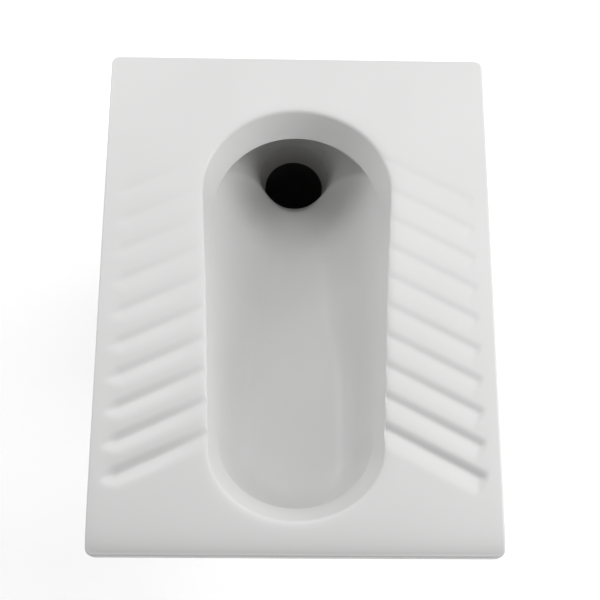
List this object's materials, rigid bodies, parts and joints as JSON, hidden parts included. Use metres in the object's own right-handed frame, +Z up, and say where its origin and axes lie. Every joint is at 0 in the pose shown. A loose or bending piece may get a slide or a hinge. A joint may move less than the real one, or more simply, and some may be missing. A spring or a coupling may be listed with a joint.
{
  "type": "squat toilet",
  "caption": "Floor-set squatting pan with foot treads, flush channel under its deck, flush pipe seal and a P-trap with an access door.",
  "frame": {"origin": "middle of the skirt's underside, the level at which the pan lies on the floor bed", "axes": "+X across the deck, +Y from the shallow end (flush inlet, wall side) to the drain end, +Z up out of the floor"},
  "size_m": [0.44, 0.58, 0.425],
  "materials": {
    "glazed_china": "glossy white glaze",
    "thin_glaze_china": "thin satin glaze, slightly uneven",
    "coated_iron": "dark bituminous coat over sand-cast skin",
    "black_rubber": "matt moulded",
    "zinc_steel": "zinc plated, satin"
  },
  "bodies": {
    "root": {"foot_deck": "glazed_china", "flush_rim": "thin_glaze_china", "bowl": "glazed_china", "outlet_horn": "thin_glaze_china", "flush_inlet": "thin_glaze_china", "deck_webs": "thin_glaze_china", "flush_cone": "black_rubber", "horn_seal": "black_rubber", "trap_body": "coated_iron", "door_gasket": "black_rubber", "door_cover": "coated_iron", "door_bolts": "zinc_steel", "door_washers": "zinc_steel"}
  },
  "joints": []
}
